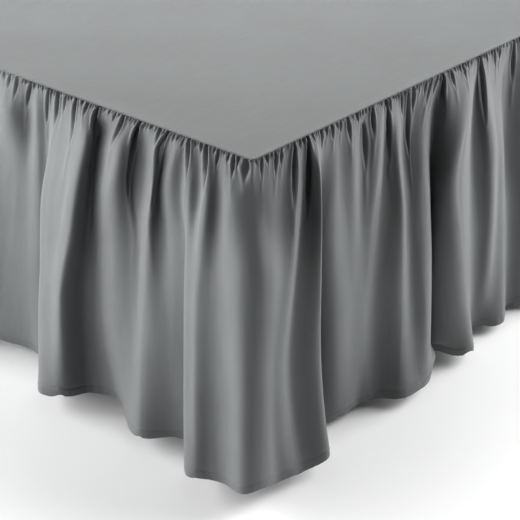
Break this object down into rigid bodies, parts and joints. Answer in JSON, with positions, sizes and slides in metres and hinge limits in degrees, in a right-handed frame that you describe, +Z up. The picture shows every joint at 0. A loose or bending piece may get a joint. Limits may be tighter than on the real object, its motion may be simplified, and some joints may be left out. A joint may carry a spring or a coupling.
{
  "type": "gathered bed skirt on a bed base",
  "caption": "Gathered bed skirt: a flat deck panel with a full-length ruffle falling in soft folds on the foot end and both sides of a plain single bed base on legs.",
  "frame": {"origin": "on the floor, under the middle of the bounding box", "axes": "+Z up, +Y towards the open head end along the bed's length, +X to the right side as seen from the foot end"},
  "size_m": [1.1543, 2.0009, 0.4181],
  "materials": {
    "skirt_cloth": "brushed microfibre cloth, mid grey, soft sheen",
    "base_cover": "plain woven ticking over the bed base",
    "leg_wood": "satin stained wood"
  },
  "bodies": {
    "root": {"deck_panel": "skirt_cloth", "ruffle_foot": "skirt_cloth", "ruffle_left": "skirt_cloth", "ruffle_right": "skirt_cloth", "bed_base": "base_cover", "leg_1": "leg_wood", "leg_2": "leg_wood", "leg_3": "leg_wood", "leg_4": "leg_wood", "leg_5": "leg_wood", "leg_6": "leg_wood"}
  },
  "joints": []
}
